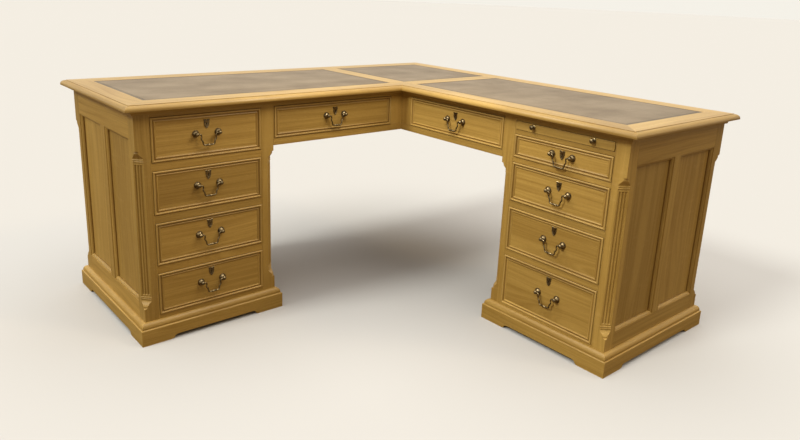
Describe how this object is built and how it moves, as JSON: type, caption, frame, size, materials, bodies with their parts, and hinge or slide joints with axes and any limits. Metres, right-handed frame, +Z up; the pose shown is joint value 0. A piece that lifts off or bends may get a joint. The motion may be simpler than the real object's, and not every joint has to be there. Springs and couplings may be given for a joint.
{
  "type": "corner desk",
  "caption": "L-shaped oak corner desk with leather writing panels, two pedestals of drawers, drawers in the aprons and a pull-out writing slide.",
  "frame": {"origin": "on the floor, below the middle of the box round the L-shaped top", "axes": "+X along the left wing towards the outside corner, +Y towards the back of the left wing, +Z up; the left wing's drawers face -Y and the right wing's face -X"},
  "size_m": [1.69, 1.646, 0.78],
  "materials": {
    "oak": "golden oak, waxed satin",
    "drawer_lining": "pale, unpolished",
    "leather": "taupe hide, soft sheen",
    "antique_brass": "dark antiqued, rubbed bright on the high spots"
  },
  "bodies": {
    "desk": {"leather_corner": "leather", "leather_left": "leather", "leather_right": "leather", "left_apron_back": "oak", "left_apron_front": "oak", "left_back_panel": "oak", "left_front_frame": "oak", "left_plinth": "oak", "left_post_back_inner": "oak", "left_post_back_outer": "oak", "left_post_front_inner": "oak", "left_post_front_outer": "oak", "left_side_inner": "oak", "left_side_outer": "oak", "right_apron_back": "oak", "right_apron_front": "oak", "right_back_panel": "oak", "right_front_frame": "oak", "right_plinth": "oak", "right_post_back_inner": "oak", "right_post_back_outer": "oak", "right_post_front_inner": "oak", "right_post_front_outer": "oak", "right_side_inner": "oak", "right_side_outer": "oak", "top_border": "oak", "top_core": "oak"},
    "left_drawer_1": {"left_drawer_1_front": "oak", "left_drawer_1_box": "drawer_lining"},
    "left_drawer_1_bail": {"left_drawer_1_bail": "antique_brass"},
    "left_drawer_2": {"left_drawer_2_front": "oak", "left_drawer_2_box": "drawer_lining"},
    "left_drawer_2_bail": {"left_drawer_2_bail": "antique_brass"},
    "left_drawer_3": {"left_drawer_3_front": "oak", "left_drawer_3_box": "drawer_lining"},
    "left_drawer_3_bail": {"left_drawer_3_bail": "antique_brass"},
    "left_drawer_4": {"left_drawer_4_front": "oak", "left_drawer_4_box": "drawer_lining"},
    "left_drawer_4_bail": {"left_drawer_4_bail": "antique_brass"},
    "right_drawer_1": {"right_drawer_1_front": "oak", "right_drawer_1_box": "drawer_lining"},
    "right_drawer_1_bail": {"right_drawer_1_bail": "antique_brass"},
    "right_drawer_2": {"right_drawer_2_front": "oak", "right_drawer_2_box": "drawer_lining"},
    "right_drawer_2_bail": {"right_drawer_2_bail": "antique_brass"},
    "right_drawer_3": {"right_drawer_3_front": "oak", "right_drawer_3_box": "drawer_lining"},
    "right_drawer_3_bail": {"right_drawer_3_bail": "antique_brass"},
    "right_drawer_4": {"right_drawer_4_front": "oak", "right_drawer_4_box": "drawer_lining"},
    "right_drawer_4_bail": {"right_drawer_4_bail": "antique_brass"},
    "left_apron_drawer": {"left_apron_drawer_front": "oak", "left_apron_drawer_box": "drawer_lining"},
    "left_apron_drawer_bail": {"left_apron_drawer_bail": "antique_brass"},
    "right_apron_drawer": {"right_apron_drawer_front": "oak", "right_apron_drawer_box": "drawer_lining"},
    "right_apron_drawer_bail": {"right_apron_drawer_bail": "antique_brass"},
    "right_writing_slide": {"right_writing_slide": "oak", "right_writing_slide_knob_inner": "antique_brass", "right_writing_slide_knob_outer": "antique_brass"}
  },
  "joints": [
    {"name": "left_drawer_1_runs", "type": "slide", "parent": "desk", "child": "left_drawer_1", "axis": [0, -1, 0], "range_m": [0, 0.33]},
    {"name": "left_drawer_1_bail_swings", "type": "hinge", "parent": "left_drawer_1", "child": "left_drawer_1_bail", "pos_m": [-0.5795, 0.2035, 0.67108], "axis": [-1, 0, 0], "range_deg": [0, 90]},
    {"name": "left_drawer_2_runs", "type": "slide", "parent": "desk", "child": "left_drawer_2", "axis": [0, -1, 0], "range_m": [0, 0.33]},
    {"name": "left_drawer_2_bail_swings", "type": "hinge", "parent": "left_drawer_2", "child": "left_drawer_2_bail", "pos_m": [-0.5795, 0.2035, 0.50241], "axis": [-1, 0, 0], "range_deg": [0, 90]},
    {"name": "left_drawer_3_runs", "type": "slide", "parent": "desk", "child": "left_drawer_3", "axis": [0, -1, 0], "range_m": [0, 0.33]},
    {"name": "left_drawer_3_bail_swings", "type": "hinge", "parent": "left_drawer_3", "child": "left_drawer_3_bail", "pos_m": [-0.5795, 0.2035, 0.33373], "axis": [-1, 0, 0], "range_deg": [0, 90]},
    {"name": "left_drawer_4_runs", "type": "slide", "parent": "desk", "child": "left_drawer_4", "axis": [0, -1, 0], "range_m": [0, 0.33]},
    {"name": "left_drawer_4_bail_swings", "type": "hinge", "parent": "left_drawer_4", "child": "left_drawer_4_bail", "pos_m": [-0.5795, 0.2035, 0.16506], "axis": [-1, 0, 0], "range_deg": [0, 90]},
    {"name": "right_drawer_1_runs", "type": "slide", "parent": "desk", "child": "right_drawer_1", "axis": [-1, 0, 0], "range_m": [0, 0.33]},
    {"name": "right_drawer_1_bail_swings", "type": "hinge", "parent": "right_drawer_1", "child": "right_drawer_1_bail", "pos_m": [0.2255, -0.5575, 0.65531], "axis": [0, 1, 0], "range_deg": [0, 90]},
    {"name": "right_drawer_2_runs", "type": "slide", "parent": "desk", "child": "right_drawer_2", "axis": [-1, 0, 0], "range_m": [0, 0.33]},
    {"name": "right_drawer_2_bail_swings", "type": "hinge", "parent": "right_drawer_2", "child": "right_drawer_2_bail", "pos_m": [0.2255, -0.5575, 0.53392], "axis": [0, 1, 0], "range_deg": [0, 90]},
    {"name": "right_drawer_3_runs", "type": "slide", "parent": "desk", "child": "right_drawer_3", "axis": [-1, 0, 0], "range_m": [0, 0.33]},
    {"name": "right_drawer_3_bail_swings", "type": "hinge", "parent": "right_drawer_3", "child": "right_drawer_3_bail", "pos_m": [0.2255, -0.5575, 0.36781], "axis": [0, 1, 0], "range_deg": [0, 90]},
    {"name": "right_drawer_4_runs", "type": "slide", "parent": "desk", "child": "right_drawer_4", "axis": [-1, 0, 0], "range_m": [0, 0.33]},
    {"name": "right_drawer_4_bail_swings", "type": "hinge", "parent": "right_drawer_4", "child": "right_drawer_4_bail", "pos_m": [0.2255, -0.5575, 0.1798], "axis": [0, 1, 0], "range_deg": [0, 90]},
    {"name": "left_apron_drawer_runs", "type": "slide", "parent": "desk", "child": "left_apron_drawer", "axis": [0, -1, 0], "range_m": [0, 0.33]},
    {"name": "left_apron_drawer_bail_swings", "type": "hinge", "parent": "left_apron_drawer", "child": "left_apron_drawer_bail", "pos_m": [-0.081, 0.2035, 0.68718], "axis": [-1, 0, 0], "range_deg": [0, 90]},
    {"name": "right_apron_drawer_runs", "type": "slide", "parent": "desk", "child": "right_apron_drawer", "axis": [1, 0, 0], "range_m": [-0.33, 0]},
    {"name": "right_apron_drawer_bail_swings", "type": "hinge", "parent": "right_apron_drawer", "child": "right_apron_drawer_bail", "pos_m": [0.2255, -0.081, 0.68718], "axis": [0, -1, 0], "range_deg": [-90, 0]},
    {"name": "right_writing_slide_runs", "type": "slide", "parent": "desk", "child": "right_writing_slide", "axis": [-1, 0, 0], "range_m": [0, 0.33]}
  ]
}
